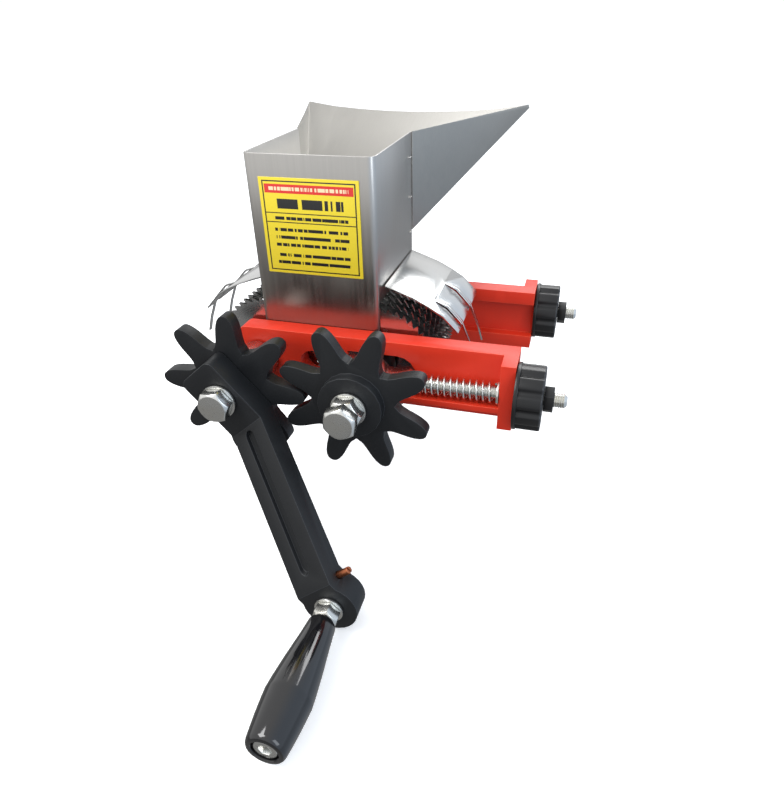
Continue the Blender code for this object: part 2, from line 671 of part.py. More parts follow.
def driven_pieces():
    driven_shaft()
    roller("driven", DRIVEN_X)
    gear("driven_gear", DRIVEN_X, DRIVEN_GEAR_TURN, DRIVEN_GEAR_FACE)
    sleeve_to = -ROD_Y - EYE_THICK / 2 - GAP
    ring("driven_sleeve", "zinc", "Y", (DRIVEN_X, 0, SHAFT_Z), GEAR_BACK + GAP, sleeve_to, 12, SHAFT_R + GAP)
    driven_end()


def knobs():
    for end, side in (("front", -1), ("rear", 1)):
        knob(f"knob_{end}", side)
        knob_nut(f"knob_nut_{end}", side)


fixed_pieces()
crank_pieces()
sliding_pieces()
driven_pieces()
knobs()
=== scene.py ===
"""Olive scoring mill: the finished pieces, their materials and a plain studio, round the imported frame."""

import json
import math

import bmesh
import bpy
from bpy.props import FloatProperty, FloatVectorProperty, IntProperty, PointerProperty
from mathutils import Euler, Matrix, Vector


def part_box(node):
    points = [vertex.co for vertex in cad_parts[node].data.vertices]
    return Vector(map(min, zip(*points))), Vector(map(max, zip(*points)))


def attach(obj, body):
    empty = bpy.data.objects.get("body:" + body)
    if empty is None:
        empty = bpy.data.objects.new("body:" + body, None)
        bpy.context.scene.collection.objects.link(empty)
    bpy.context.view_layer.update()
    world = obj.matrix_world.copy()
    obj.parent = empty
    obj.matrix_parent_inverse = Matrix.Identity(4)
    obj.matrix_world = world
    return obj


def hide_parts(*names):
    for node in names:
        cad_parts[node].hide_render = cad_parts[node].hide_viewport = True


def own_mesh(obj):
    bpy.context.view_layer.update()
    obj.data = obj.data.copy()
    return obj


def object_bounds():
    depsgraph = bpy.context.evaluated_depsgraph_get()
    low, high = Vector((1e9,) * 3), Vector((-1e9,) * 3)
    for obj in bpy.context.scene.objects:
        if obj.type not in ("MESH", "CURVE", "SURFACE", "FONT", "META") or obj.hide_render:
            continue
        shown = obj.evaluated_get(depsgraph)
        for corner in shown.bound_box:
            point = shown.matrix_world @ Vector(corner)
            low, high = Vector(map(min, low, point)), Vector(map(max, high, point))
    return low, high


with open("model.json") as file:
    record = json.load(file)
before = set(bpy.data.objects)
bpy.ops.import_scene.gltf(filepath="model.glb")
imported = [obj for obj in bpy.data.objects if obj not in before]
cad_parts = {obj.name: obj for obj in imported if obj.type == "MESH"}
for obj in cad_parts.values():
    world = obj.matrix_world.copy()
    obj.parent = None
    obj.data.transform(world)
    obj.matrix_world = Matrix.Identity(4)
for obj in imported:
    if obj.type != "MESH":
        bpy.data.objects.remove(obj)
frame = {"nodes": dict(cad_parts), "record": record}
CAD_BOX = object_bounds()

bl_info = {
    "name": "Olive Scoring Mill",
    "version": (1, 0, 0),
    "blender": (4, 5, 0),
    "location": "View3D > Sidebar > Mill",
    "description": "Builds the finished pieces of a hand-cranked olive scoring mill",
    "category": "Object",
}

MM = 0.001
FRONT_AND_REAR = ("front", "rear")


def low(node):
    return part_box(node)[0]


def high(node):
    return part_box(node)[1]


def middle(node):
    return (Vector(low(node)) + Vector(high(node))) / 2


DRIVE_AXIS = middle("drive_shaft")
DRIVEN_AXIS = middle("driven_shaft")
GRIP_AXIS = middle("grip")
ROD_AXIS = {name: middle(f"knob_{name}") for name in FRONT_AND_REAR}


# ---------------------------------------------------------------- sizes and colours


class MillSizes(bpy.types.PropertyGroup):
    """Sizes of the fine shapes that the working model leaves plain."""

    def length(name, description, millimetres):
        return FloatProperty(name=name, description=description, default=millimetres * MM, subtype="DISTANCE")

    def count(name, description, default, least):
        return IntProperty(name=name, description=description, default=default, min=least)

    soft_edge: length("Soft edge", "Radius on the edges of moulded pieces", 0.7)
    metal_edge: length("Metal edge", "Radius on the edges of metal pieces", 0.25)
    blade_teeth: count("Blade teeth", "Saw teeth round each blade", 42, 12)
    tooth_depth: length("Tooth depth", "Depth of a blade's saw teeth", 3.0)
    shaft_bore: length("Shaft bore", "Radius of the bores that the shafts pass through", 8.2)
    rod_radius: length("Rod radius", "Radius over the threads of the adjuster rods", 4.0)
    rod_bore: length("Rod bore", "Radius of the bores that the rods and the grip's screw pass through", 4.3)
    bolt_bore: length("Bolt bore", "Radius of the washers' bores on the shaft ends", 5.3)
    thread_pitch: length("Thread pitch", "Distance between the rods' threads", 1.25)
    thread_depth: length("Thread depth", "Depth of the rods' threads", 0.55)
    wire: length("Spring wire", "Radius of the spring wire", 0.64)
    slide_travel: length("Slide travel", "How far the eye bolts slide outwards", 6.25)
    spring_turns: count("Spring turns", "Turns of each spring", 13, 4)
    flutes: count("Knob flutes", "Finger flutes round each knob", 10, 4)
    round_steps: count("Round steps", "Sides of a turned piece", 64, 16)


class MillColours(bpy.types.PropertyGroup):
    """Colours of the mill's finishes."""

    def paint(name, description, colour):
        return FloatVectorProperty(
            name=name, description=description, default=colour, subtype="COLOR", size=3, min=0, max=1
        )

    frame_red: paint("Frame red", "Moulded side frames", (0.66, 0.030, 0.010))
    # Painted highlight: a lighter red for the frames' rounded edges, standing in for the light they catch.
    frame_edge: paint("Frame edge", "Painted highlight on the rounded edges of the side frames", (0.78, 0.085, 0.035))
    steel: paint("Brushed steel", "Hopper and scoop sheet", (0.50, 0.485, 0.46))
    scoop_steel: paint("Scoop steel", "Duller sheet of the feed scoop", (0.38, 0.365, 0.335))
    bright_steel: paint("Bright steel", "Guards and blades", (0.62, 0.62, 0.61))
    zinc: paint("Zinc", "Plated bolts, rods and springs", (0.74, 0.73, 0.70))
    charcoal: paint("Charcoal", "Gears and crank arm", (0.0085, 0.0095, 0.011))
    black: paint("Black", "Knobs, drums and bushes", (0.007, 0.007, 0.0075))
    grip: paint("Grip", "Turned hand grip", (0.006, 0.006, 0.007))
    yellow: paint("Label yellow", "Ground of the label", (0.90, 0.70, 0.035))
    label_red: paint("Label red", "Header band of the label", (0.72, 0.03, 0.02))
    copper: paint("Copper", "Set screw in the crank arm", (0.45, 0.15, 0.07))
    backdrop: paint("Backdrop", "Floor and surroundings", (0.97, 0.97, 0.97))


def sizes():
    return bpy.context.scene.mill_sizes


def colours():
    return bpy.context.scene.mill_colours


# ---------------------------------------------------------------- shader helpers


def plug(tree, socket, value):
    """Links a socket or a signal into a socket, or sets its plain value."""
    if isinstance(value, Signal):
        value = value.socket
    if isinstance(value, bpy.types.NodeSocket):
        tree.links.new(value, socket)
    elif hasattr(socket.default_value, "__len__") and len(socket.default_value) == 4 and len(value) == 3:
        socket.default_value = (*value, 1)
    else:
        socket.default_value = value


class Signal:
    """A shader value that can be written in sums."""

    def __init__(self, tree, socket):
        self.tree = tree
        self.socket = socket

    def maths(self, operation, *others):
        node = self.tree.nodes.new("ShaderNodeMath")
        node.operation = operation
        for socket, value in zip(node.inputs, others):
            plug(self.tree, socket, value)
        return Signal(self.tree, node.outputs[0])

    def __add__(self, other):
        return self.maths("ADD", self, other)

    def __sub__(self, other):
        return self.maths("SUBTRACT", self, other)

    def __rsub__(self, other):
        return self.maths("SUBTRACT", other, self)

    def __mul__(self, other):
        return self.maths("MULTIPLY", self, other)

    def __truediv__(self, other):
        return self.maths("DIVIDE", self, other)

    def __gt__(self, other):
        return self.maths("GREATER_THAN", self, other)

    def __lt__(self, other):
        return self.maths("LESS_THAN", self, other)

    def held(self):
        """The value kept between 0 and 1."""
        node = self.tree.nodes.new("ShaderNodeClamp")
        plug(self.tree, node.inputs[0], self)
        return Signal(self.tree, node.outputs[0])

    __radd__ = __add__
    __rmul__ = __mul__


class Nodes:
    """A node tree being filled. add() is the one way that a node gets in, apart from a signal's own maths."""

    def __init__(self, tree):
        self.tree = tree

    def add(self, kind, settings=None, sockets=None):
        node = self.tree.nodes.new(kind)
        for name, value in (settings or {}).items():
            setattr(node, name, value)
        for key, value in (sockets or {}).items():
            plug(self.tree, node.inputs[key], value)
        return node

    def signal(self, socket):
        return Signal(self.tree, socket)

    def part(self, vector, name):
        """The X, Y or Z of a vector."""
        node = self.add("ShaderNodeSeparateXYZ", None, {"Vector": vector})
        return self.signal(node.outputs[name])

    def mixed(self, factor, first, second):
        """A colour between the first and the second."""
        settings = {"data_type": "RGBA"}
        return self.add("ShaderNodeMix", settings, {0: factor, 6: first, 7: second}).outputs[2]


class Finish(Nodes):
    """A material being made."""

    def __init__(self, name, roughness, metallic=0.0, **constants):
        self.material = bpy.data.materials.new(name)
        self.material.use_nodes = True
        super().__init__(self.material.node_tree)
        self.shader = self.tree.nodes["Principled BSDF"]
        self.set("Roughness", roughness)
        self.set("Metallic", metallic)
        for socket, value in constants.items():
            self.set(socket.replace("_", " "), value)
        self.place = self.add("ShaderNodeTexCoord").outputs["Object"]

    def set(self, socket, value):
        plug(self.tree, self.shader.inputs[socket], value)

    def noise(self, scale, detail=3.0, stretch=(1, 1, 1), shift=(0, 0, 0)):
        """Noise from 0 to 1, with the pattern stretched along the axes, in repeats per metre."""
        sockets = {"Vector": self.place, "Scale": stretch, "Location": shift}
        mapped = self.add("ShaderNodeMapping", None, sockets).outputs[0]
        node = self.add("ShaderNodeTexNoise", None, {"Vector": mapped, "Scale": scale, "Detail": detail})
        return self.signal(node.outputs["Fac"])

    def axis(self, name):
        """An Object coordinate, in metres."""
        return self.part(self.place, name)

    def bump(self, height, strength, distance):
        sockets = {"Height": height, "Strength": strength, "Distance": distance}
        self.set("Normal", self.add("ShaderNodeBump", None, sockets).outputs[0])


def scaled(colour, amount):
    return tuple(min(1.0, channel * amount) for channel in colour)


def moulded(name, colour, roughness, grain=0.25, **constants):
    """Moulded plastic: a fine grain, cloudy gloss and faint rubbed patches."""
    finish = Finish(name, roughness, **constants)
    cloud = finish.noise(28, 4)
    fine = finish.noise(1500, 2)
    # Random patches of rubbed wear, lighter and rougher.
    wear_and_highlight = ((finish.noise(90, 6, (1, 1, 0.4)) - 0.56) * 6).held()
    tone = finish.mixed(cloud, scaled(colour, 0.86), scaled(colour, 1.12))
    finish.set("Base Color", finish.mixed(wear_and_highlight * 0.14, tone, scaled(colour, 1.9)))
    finish.set("Roughness", roughness + (cloud - 0.5) * 0.14 + wear_and_highlight * 0.08)
    finish.bump(fine + finish.noise(240, 3) * 0.6, grain, 0.0001)
    return finish.material


def brushed(name, colour, roughness, grain=(900, 900, 14), painted_shade=0.0):
    """Brushed sheet: long fine scratches, soft stains and, when asked, a painted shade that darkens the lower
    end.
    """
    finish = Finish(name, roughness, 1.0)
    streaks = finish.noise(1.0, 5, grain)
    fine = finish.noise(1.0, 3, tuple(value * 2.6 for value in grain), (0.3, 0.1, 0.2))
    stain = finish.noise(16, 4, shift=(0.4, 0.2, 0.1))
    tone = finish.mixed((streaks * 0.6 + fine * 0.4), scaled(colour, 0.80), scaled(colour, 1.16))
    tone = finish.mixed((stain * 0.7), tone, scaled((colour[0] * 0.98, colour[1], colour[2] * 1.03), 0.92))
    if painted_shade:
        # Painted shade: from 0.13 m down to 0.03 m the colour darkens towards a warm dark tone.
        depth = (1 - (finish.axis("Z") - 0.03) / 0.10).held()
        warm = (colour[0] * 0.62, colour[1] * 0.56, colour[2] * 0.50)
        tone = finish.mixed(depth * painted_shade, tone, warm)
    finish.set("Base Color", tone)
    finish.set("Roughness", roughness + (streaks - 0.5) * 0.22 + (stain - 0.5) * 0.10)
    finish.bump(streaks + fine * 0.5, 0.10, 0.0001)
    return finish.material


def plated(name, colour, roughness):
    """Zinc plating: bright, slightly cloudy, with small pits and a faint warm and cool drift."""
    finish = Finish(name, roughness, 1.0)
    cloud = finish.noise(70, 5)
    pits = ((finish.noise(620, 4) - 0.60) * 8).held()
    warm = (colour[0], colour[1] * 0.97, colour[2] * 0.88)
    cool = (colour[0] * 0.93, colour[1] * 0.98, colour[2] * 1.06)
    tone = finish.mixed(cloud, warm, cool)
    finish.set("Base Color", finish.mixed(pits * 0.45, tone, scaled(colour, 0.45)))
    finish.set("Roughness", roughness + (cloud - 0.5) * 0.16 + pits * 0.15)
    finish.bump(finish.noise(900, 3) - pits, 0.14, 0.0001)
    return finish.material


def turned_steel(name, colour, roughness, centre):
    """Cut disc steel: fine rings round the shaft and a few handling marks."""
    finish = Finish(name, roughness, 1.0)
    across = finish.axis("X") - centre.x
    upward = finish.axis("Z") - centre.z
    radius = across.maths("SQRT", across * across + upward * upward)
    sockets = {"W": radius, "Scale": 2600.0, "Detail": 3.0}
    rings = finish.add("ShaderNodeTexNoise", {"noise_dimensions": "1D"}, sockets)
    lines = finish.signal(rings.outputs["Fac"])
    marks = ((finish.noise(120, 6) - 0.58) * 7).held()
    finish.set("Base Color", finish.mixed(lines, scaled(colour, 0.84), scaled(colour, 1.1)))
    finish.set("Roughness", roughness + (lines - 0.5) * 0.18 + marks * 0.2)
    finish.bump(lines, 0.12, 0.0001)
    return finish.material


def printed_label(name):
    """The plate's generic print: a black border, a red header with pale marks, divider lines and rows of
    short black marks.
    """
    finish = Finish(name, 0.36, Coat_Weight=0.25, Coat_Roughness=0.2)
    left, right = low("hopper_label").x, high("hopper_label").x
    bottom, top = low("hopper_label").z, high("hopper_label").z
    across = (finish.axis("X") - left) / (right - left)
    upward = (finish.axis("Z") - bottom) / (top - bottom)
    hue = colours()
    ink = (0.015, 0.014, 0.014)
    speck = finish.noise(900, 4)
    ground = finish.mixed(speck, scaled(hue.yellow, 0.93), scaled(hue.yellow, 1.04))

    def band(value, start, end):
        return (value > start) * (value < end)

    def dashes(low_end, high_end, start, end, size, amount):
        """A row of short marks of uneven length."""
        words = finish.noise(1.0, 1, (size, 0, 0), (0, low_end * 31, low_end * 17))
        return band(upward, low_end, high_end) * band(across, start, end) * (words > 1 - amount)

    header = band(upward, 0.845, 0.935) * band(across, 0.055, 0.945)
    tone = finish.mixed(header, ground, tuple(hue.label_red))
    tone = finish.mixed(dashes(0.872, 0.908, 0.10, 0.90, 900, 0.56), tone, (0.92, 0.72, 0.45))
    tone = finish.mixed(dashes(0.69, 0.79, 0.16, 0.84, 520, 0.55), tone, ink)
    for row in (0.575, 0.455, 0.375, 0.295, 0.185, 0.105):
        tone = finish.mixed(dashes(row, row + 0.034, 0.12, 0.88, 760, 0.58), tone, ink)
    for height in (0.64, 0.545):
        tone = finish.mixed(band(upward, height, height + 0.010) * band(across, 0.045, 0.955), tone, ink)
    frame_line = band(across, 0.033, 0.967) * band(upward, 0.030, 0.970)
    inside = band(across, 0.046, 0.954) * band(upward, 0.043, 0.957)
    tone = finish.mixed(frame_line * (1 - inside), tone, ink)
    finish.set("Base Color", tone)
    finish.set("Roughness", 0.36 + (speck - 0.5) * 0.12)
    finish.bump(speck, 0.08, 0.0001)
    return finish.material


FINISHES = {}


def finish_of(name):
    """Each material, made once."""
    if name not in FINISHES:
        hue = colours()
        glossy_coat = {"Coat_Weight": 0.5, "Coat_Roughness": 0.06}
        makers = {
            "frame": lambda: moulded("frame_red_plastic", hue.frame_red, 0.42, 0.18, Specular_IOR_Level=0.4),
            # Lighter copy of the frame red for the rounded edges: a painted highlight.
            "frame_edge": lambda: moulded("frame_painted_edge_highlight", hue.frame_edge, 0.34, 0.10),
            # The hopper's sheet gets a painted shade towards its lower end.
            "steel": lambda: brushed("hopper_brushed_steel", hue.steel, 0.34, painted_shade=0.75),
            "scoop": lambda: brushed("scoop_brushed_steel", hue.scoop_steel, 0.42, (700, 24, 120)),
            "guard": lambda: brushed("guard_sheet_steel", hue.bright_steel, 0.20, (60, 1100, 60)),
            "zinc": lambda: plated("bright_zinc", hue.zinc, 0.24),
            "charcoal": lambda: moulded("charcoal_plastic", hue.charcoal, 0.48, 0.45, Specular_IOR_Level=0.4),
            # Charcoal made 2.4 times lighter for the rounded edges: a painted highlight.
            "charcoal_edge": lambda: moulded("charcoal_painted_edge_highlight", scaled(hue.charcoal, 2.4), 0.40, 0.2),
            "black": lambda: moulded("black_plastic", hue.black, 0.34, 0.2, Specular_IOR_Level=0.45),
            # Black made 2.6 times lighter for the rounded edges: a painted highlight.
            "black_edge": lambda: moulded("black_painted_edge_highlight", scaled(hue.black, 2.6), 0.3, 0.15),
            "grip": lambda: moulded("gloss_black_grip", hue.grip, 0.12, 0.06, **glossy_coat),
            "copper": lambda: plated("copper_plated_screw", hue.copper, 0.35),
            "label": lambda: printed_label("label_print"),
            "drive_disc": lambda: turned_steel("drive_blade_steel", hue.bright_steel, 0.2, DRIVE_AXIS),
            "driven_disc": lambda: turned_steel("driven_blade_steel", hue.bright_steel, 0.2, DRIVEN_AXIS),
        }
        FINISHES[name] = makers[name]()
    return FINISHES[name]


# ---------------------------------------------------------------- mesh helpers

BODIES = {
    node: body for body, nodes in frame["record"]["behaviour"]["bodies"].items() for node in nodes
}


def settle(bm, name, node, *finishes, smooth=35, stands=True, recalc=True):
    """Makes the bmesh a piece that rides with the node's body and stands for the node, unless told not to."""
    if recalc:
        bmesh.ops.recalc_face_normals(bm, faces=bm.faces)
    mesh = bpy.data.meshes.new(name)
    bm.to_mesh(mesh)
    bm.free()
    piece = bpy.data.objects.new(name, mesh)
    bpy.context.scene.collection.objects.link(piece)
    for finish in finishes:
        mesh.materials.append(finish_of(finish))
    mesh.shade_smooth()
    mesh.set_sharp_from_angle(angle=math.radians(smooth))
    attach(piece, BODIES[node])
    if stands:
        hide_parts(node)
    return piece


def copied(node):
    """The node's own shape as a clean bmesh, its doubles merged and its flat faces made whole."""
    bm = bmesh.new()
    bm.from_mesh(frame["nodes"][node].data)
    bmesh.ops.remove_doubles(bm, verts=bm.verts, dist=1e-6)
    angle = math.radians(0.6)
    bmesh.ops.dissolve_limit(bm, angle_limit=angle, verts=bm.verts, edges=bm.edges)
    return bm


def soften(bm, radius, segments=2, over=40, edges=None):
    """Rounds every edge sharper than the angle, or the edges given, and returns the new faces."""
    if edges is None:
        limit = math.radians(over)
        edges = [edge for edge in bm.edges if edge.is_manifold and edge.calc_face_angle(0) > limit]
    made = bmesh.ops.bevel(
        bm, geom=edges, offset=radius, offset_type="OFFSET", segments=segments, profile=0.5, affect="EDGES",
        clamp_overlap=True, material=-1,
    )
    return made["faces"]


def softened(node, radius, *finishes, segments=2, over=40, name=None):
    """The node's shape with soft edges. A second finish goes on the rounded edges."""
    bm = copied(node)
    faces = soften(bm, radius, segments, over)
    if len(finishes) > 1:
        for face in faces:
            face.material_index = 1
    return settle(bm, name or f"{node}_finished", node, *finishes, recalc=False)


def spun(name, node, centre, axis, profile, *finishes, steps=None, **options):
    """A closed profile of (place along the axis, radius) points, turned about the axis, in metres."""
    along = {"X": Vector((1, 0, 0)), "Y": Vector((0, 1, 0))}[axis]
    up = Vector((0, 0, 1))
    foot = Vector(centre)
    foot -= along * foot.dot(along)
    bm = bmesh.new()
    ring = [bm.verts.new(foot + along * place + up * radius) for place, radius in profile]
    for index in range(len(ring)):
        ends = (profile[index - 1][1], profile[index][1])
        if max(ends) > 1e-7:
            bm.edges.new((ring[index - 1], ring[index]))
    bmesh.ops.spin(
        bm, geom=bm.verts[:] + bm.edges[:], cent=foot, axis=along, angle=math.tau,
        steps=steps or sizes().round_steps, use_merge=True,
    )
    bmesh.ops.remove_doubles(bm, verts=bm.verts, dist=1e-6)
    return settle(bm, name, node, *finishes, **options)


def rounded_profile(start, end, inner, outer, edge):
    """A ring's section with its outer corners turned off, and its inner ones too if it has a bore."""
    points = [(start, outer - edge), (start + edge * 0.3, outer - edge * 0.3), (start + edge, outer)]
    points += [(end - edge, outer), (end - edge * 0.3, outer - edge * 0.3), (end, outer - edge)]
    if not inner:
        return points + [(end, 0), (start, 0)]
    points += [(end, inner + edge / 2), (end - edge / 2, inner)]
    return points + [(start + edge / 2, inner), (start, inner + edge / 2)]


def ring_piece(node, axis, inner, *finishes, edge):
    """A washer, sleeve or bush, as big as its node, with a bore."""
    a, b = low(node), high(node)
    start, end = (a.x, b.x) if axis == "X" else (a.y, b.y)
    profile = rounded_profile(start, end, inner, (b.z - a.z) / 2, edge)
    return spun(f"{node}_turned", node, middle(node), axis, profile, *finishes)


# ---------------------------------------------------------------- side frames


class MILL_OT_side_frames(bpy.types.Operator):
    """Side frames with soft moulded edges"""

    bl_idname = "mill.side_frames"
    bl_label = "Side Frames"

    def execute(self, context):
        for name in ("side_frame_front", "side_frame_rear"):
            # The rounded edges take the lighter red, a painted highlight.
            softened(name, sizes().soft_edge, "frame", "frame_edge", segments=3)
        return {"FINISHED"}


# ---------------------------------------------------------------- hopper, scoop and guards


def weld_bead(name, node, start, end, radius):
    """A flat bead of weld along a straight line, swelling and thinning a little."""
    start, end = Vector(start), Vector(end)
    along = (end - start).normalized()
    count = max(3, int((end - start).length / (radius * 1.1)))
    bm = bmesh.new()
    for step in range(count):
        swell = radius * (1 + 0.18 * math.sin(step * 2.4))
        place = start.lerp(end, (step + 0.5) / count)
        turn = along.to_track_quat("X", "Z").to_matrix().to_4x4()
        shape = Matrix.Translation(place) @ turn @ Matrix.Diagonal((swell, swell, swell * 0.45, 1))
        bmesh.ops.create_icosphere(bm, subdivisions=2, radius=1, matrix=shape)
    return settle(bm, name, node, "steel", stands=False, smooth=80)


class MILL_OT_hopper(bpy.types.Operator):
    """Hopper of brushed sheet, with the welds that hold the scoop's walls"""

    bl_idname = "mill.hopper"
    bl_label = "Hopper"

    def execute(self, context):
        softened("hopper_body", 0.22 * MM, "steel", over=50)
        rear = high("hopper_body").y
        for side, face in (("left", low("hopper_body").x), ("right", high("hopper_body").x)):
            for number, height in enumerate((0.124, 0.100, 0.078)):
                start = (face, rear - 7 * MM, height)
                end = (face, rear - 3 * MM, height)
                weld_bead(f"scoop_weld_{side}_{number + 1}", "hopper_body", start, end, 0.9 * MM)
        return {"FINISHED"}


class MILL_OT_scoop(bpy.types.Operator):
    """Feed scoop behind the hopper"""

    bl_idname = "mill.scoop"
    bl_label = "Feed Scoop"

    def execute(self, context):
        softened("hopper_tray", 0.2 * MM, "scoop", over=60)
        return {"FINISHED"}


class MILL_OT_label(bpy.types.Operator):
    """Printed plate on the hopper's front"""

    bl_idname = "mill.label"
    bl_label = "Label"

    def execute(self, context):
        softened("hopper_label", 0.12 * MM, "label", segments=2)
        return {"FINISHED"}


class MILL_OT_guards(bpy.types.Operator):
    """Bent guards over the rollers, with their slits and fingers"""

    bl_idname = "mill.guards"
    bl_label = "Guards"

    def execute(self, context):
        for name in ("guard_left", "guard_right"):
            softened(name, 0.2 * MM, "guard", over=60)
        return {"FINISHED"}


# ---------------------------------------------------------------- rollers


def saw_blade(node, centre, bore, finish):
    """A thin disc with raked teeth round its rim. Each disc is turned a little from the one before it."""
    size = sizes()
    front, rear = low(node).y, high(node).y
    radius = (high("drive_blade_1").z - DRIVE_AXIS.z) * 0.999
    start = int(node.rsplit("_", 1)[1]) * 0.37
    bm = bmesh.new()

    def place(turn, reach):
        return bm.verts.new((centre.x + reach * math.cos(turn), rear, centre.z + reach * math.sin(turn)))

    tooth_shape = ((0.0, radius - size.tooth_depth), (0.55, radius - size.tooth_depth * 0.35), (0.88, radius))
    rim = []
    for tooth in range(size.blade_teeth):
        for share, reach in tooth_shape:
            rim.append(place(start + math.tau * (tooth + share) / size.blade_teeth, reach))
    hole = [place(math.tau * step / size.round_steps, bore) for step in range(size.round_steps)]
    pairs = [(loop[index - 1], loop[index]) for loop in (rim, hole) for index in range(len(loop))]
    edges = [bm.edges.new(pair) for pair in pairs]
    bmesh.ops.bridge_loops(bm, edges=edges)
    made = bmesh.ops.extrude_face_region(bm, geom=bm.faces[:])
    moved = [item for item in made["geom"] if isinstance(item, bmesh.types.BMVert)]
    bmesh.ops.translate(bm, verts=moved, vec=(0, front - rear, 0))
    return settle(bm, f"{node}_cut", node, finish, smooth=30)


def drum(node, centre, blades):
    """The stack of black spacers that carries the blades, with a groove beside each blade."""
    radius = (high(node).z - low(node).z) / 2
    start, end = low(node).y, high(node).y
    groove = 0.8 * MM
    outer = []
    for blade in blades[1:]:
        a, b = low(blade).y, high(blade).y
        outer += [(a - groove, radius), (a - groove * 0.4, radius - groove)]
        outer += [(b + groove * 0.4, radius - groove), (b + groove, radius)]
    outer = [point for point in outer if start + 0.2 * MM < point[0] < end - 0.2 * MM]
    bore = sizes().shaft_bore
    profile = [(start, radius - groove), (start + 0.1 * MM, radius)] + outer
    profile += [(end, radius - groove), (end, bore), (start, bore)]
    return spun(f"{node}_turned", node, centre, "Y", profile, "black", smooth=30)


class MILL_OT_rollers(bpy.types.Operator):
    """The two rollers: black spacers and toothed steel discs"""

    bl_idname = "mill.rollers"
    bl_label = "Rollers"

    def execute(self, context):
        for prefix, centre in (("drive", DRIVE_AXIS), ("driven", DRIVEN_AXIS)):
            blades = sorted(node for node in frame["nodes"] if node.startswith(f"{prefix}_blade_"))
            drum_radius = (high(f"{prefix}_drum").z - low(f"{prefix}_drum").z) / 2
            drum(f"{prefix}_drum", centre, blades)
            for index, node in enumerate(blades):
                bore = sizes().shaft_bore + 0.1 * MM if index == 0 else drum_radius - 0.5 * MM
                saw_blade(node, centre, bore, f"{prefix}_disc")
        return {"FINISHED"}


# ---------------------------------------------------------------- gears, crank and grip


def soften_gear(node):
    """A gear with rounded tooth corners and soft rims."""
    hub_radius = 22.5 * MM
    bm = copied(node)
    lengthwise = []
    for edge in bm.edges:
        direction = (edge.verts[0].co - edge.verts[1].co).normalized()
        radius = math.hypot(edge.verts[0].co.x - middle(node).x, edge.verts[0].co.z - middle(node).z)
        if abs(direction.y) > 0.99 and radius > hub_radius:
            lengthwise.append(edge)
    soften(bm, 0.9 * MM, 2, edges=lengthwise)
    # The rounded rims take the lighter charcoal as a painted highlight.
    for face in soften(bm, sizes().soft_edge, 3, 50):
        face.material_index = 1
    return settle(bm, f"{node}_moulded", node, "charcoal", "charcoal_edge", recalc=False, smooth=28)


class MILL_OT_gears(bpy.types.Operator):
    """The pair of long-toothed gears"""

    bl_idname = "mill.gears"
    bl_label = "Gears"

    def execute(self, context):
        for node in ("drive_gear", "driven_gear"):
            soften_gear(node)
        return {"FINISHED"}


class MILL_OT_crank(bpy.types.Operator):
    """Crank arm with its groove, and the set screw in its edge"""

    bl_idname = "mill.crank"
    bl_label = "Crank"

    def execute(self, context):
        # The crank arm's rounded edges take the lighter charcoal as a painted highlight.
        softened("crank_arm", 1.0 * MM, "charcoal", "charcoal_edge", segments=3, over=30)
        softened("set_screw", 0.3 * MM, "copper")
        return {"FINISHED"}


class MILL_OT_grip(bpy.types.Operator):
    """Turned hand grip on its long screw"""

    bl_idname = "mill.grip"
    bl_label = "Grip"

    def execute(self, context):
        start, end = high("grip").y, low("grip").y
        length = start - end
        ridge = (high("grip").z - low("grip").z) / 2
        bore, seat, pocket = sizes().rod_bore, end + 6.5 * MM, 6.6 * MM
        neck = ((0.0, 0.547), (0.006, 0.59), (0.016, 0.613), (0.16, 0.70), (0.37, 0.855), (0.55, 0.965))
        ridge_ring = ((0.615, 0.99), (0.632, 1.0), (0.645, 0.99))
        butt = ((0.70, 0.975), (0.80, 0.93), (0.90, 0.87), (0.968, 0.82))
        butt += ((0.985, 0.79), (0.996, 0.74), (1.0, 0.68))
        shape = neck + ridge_ring + butt
        profile = [(start, bore)] + [(start - share * length, ridge * reach) for share, reach in shape]
        profile += [(end, pocket + 0.4 * MM), (end + 0.4 * MM, pocket), (seat, pocket), (seat, bore)]
        spun("grip_turned", "grip", GRIP_AXIS, "Y", profile, "grip", steps=96, smooth=24)
        softened("grip_screw", sizes().metal_edge, "zinc")
        return {"FINISHED"}


# ---------------------------------------------------------------- adjusters


def threaded_rod(name):
    """The rod of an eye bolt, with its ridges, from the shoulder to the free end."""
    node = f"eye_bolt_{name}"
    size = sizes()
    start, end = low(f"spring_{name}").x - 0.2 * MM, high(node).x
    crest, root = size.rod_radius, size.rod_radius - size.thread_depth
    profile = [(start, 0), (start, root)]
    place = start + 0.2 * MM
    while place < end - 1.6 * MM:
        profile += [(place, root), (place + size.thread_pitch * 0.40, crest)]
        profile.append((place + size.thread_pitch * 0.55, crest))
        place += size.thread_pitch
    profile += [(end - 1.0 * MM, root), (end, crest - 1.4 * MM), (end, 0)]
    spun(f"{node}_thread", node, ROD_AXIS[name], "X", profile, "zinc", steps=28, stands=False, smooth=30)


def eye(name):
    """The flat eye and neck of an eye bolt, cut off where the thread begins."""
    node = f"eye_bolt_{name}"
    bm = copied(node)
    shoulder = Vector((low(f"spring_{name}").x - 0.25 * MM, 0, 0))
    parts = bm.verts[:] + bm.edges[:] + bm.faces[:]
    bmesh.ops.bisect_plane(bm, geom=parts, plane_co=shoulder, plane_no=(1, 0, 0), clear_outer=True)
    bmesh.ops.holes_fill(bm, edges=[edge for edge in bm.edges if edge.is_boundary])
    soften(bm, 0.5 * MM, 2, 35)
    settle(bm, f"{node}_eye", node, "zinc", smooth=30)


